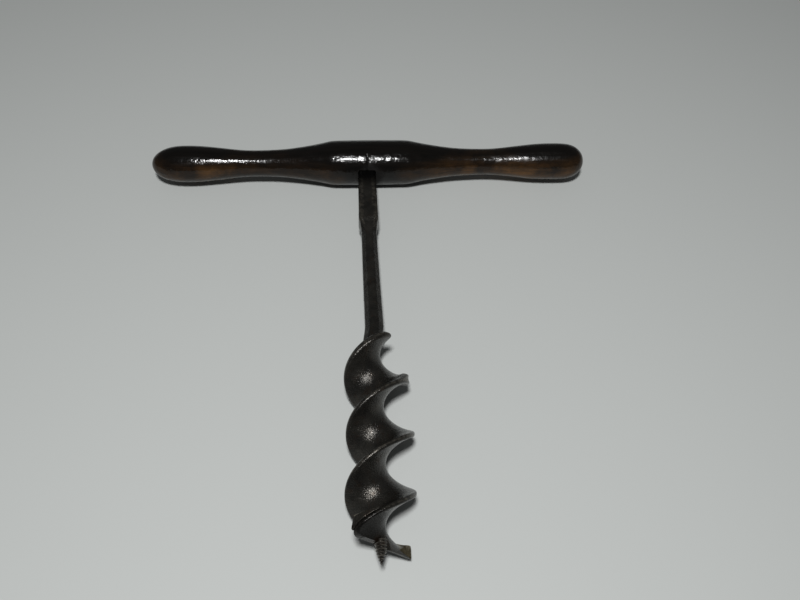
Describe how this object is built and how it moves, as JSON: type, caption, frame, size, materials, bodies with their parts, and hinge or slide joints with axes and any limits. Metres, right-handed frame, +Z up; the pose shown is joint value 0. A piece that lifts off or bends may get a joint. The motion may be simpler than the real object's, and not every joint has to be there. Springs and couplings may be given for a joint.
{
  "type": "t-handle auger",
  "caption": "Old T-handle wood auger: turned dark hardwood cross handle on a forged iron shank, with a right-hand twisted blade, side lips and a tapered lead screw.",
  "frame": {"origin": "on the bench, under the middle of the tool's bounding box as it lies at rest", "axes": "+X along the handle, nose of the bit towards -Y, +Z up from the bench"},
  "size_m": [0.406, 0.4122, 0.0533],
  "materials": {
    "handle_wood": "dark polished hardwood, worn smooth by hands",
    "forged_iron": "hammer-forged iron with a dark patina",
    "edge_steel": "forge-welded steel, darkened, worn on its edges"
  },
  "bodies": {
    "root": {"handle": "handle_wood", "shank": "forged_iron", "rove": "forged_iron", "twist_blade": "forged_iron", "right_lip": "edge_steel", "left_lip": "edge_steel", "lead_screw": "edge_steel"}
  },
  "joints": []
}
